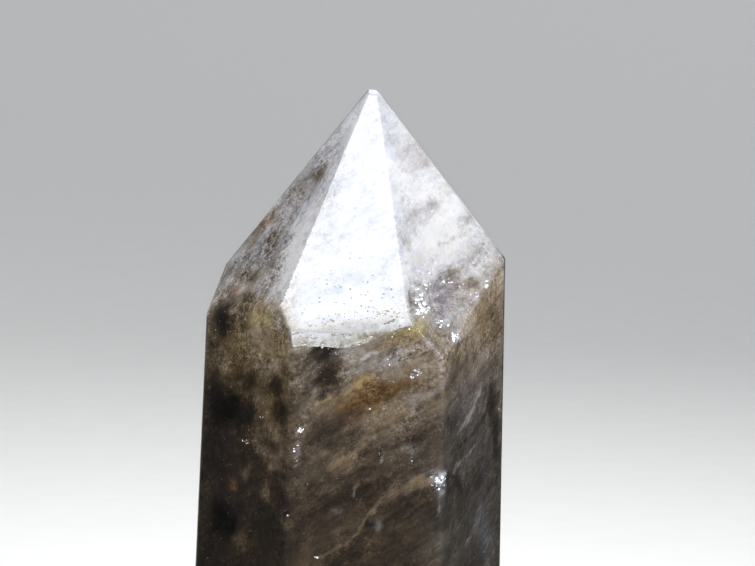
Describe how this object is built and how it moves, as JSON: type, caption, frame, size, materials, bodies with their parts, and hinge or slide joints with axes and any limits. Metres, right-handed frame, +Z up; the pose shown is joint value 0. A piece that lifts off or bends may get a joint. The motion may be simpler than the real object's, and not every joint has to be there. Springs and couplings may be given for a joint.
{
  "type": "quartz point",
  "caption": "Standing six-sided tower of smoky, cloudy quartz with polished flat facets, an off-centre sharp point and a flat cut base.",
  "frame": {"origin": "on the flat base, on the axis of the six-sided prism", "axes": "+Z up along the prism towards the point, -Y towards the front as pictured, +X to the right of the front"},
  "size_m": [0.0439, 0.0401, 0.1001],
  "materials": {
    "smoky_quartz": "clear to cloudy smoky brown quartz, polished flat, with milky veils, iron stains and bright fractures inside"
  },
  "bodies": {
    "root": {"quartz_point": "smoky_quartz"}
  },
  "joints": []
}
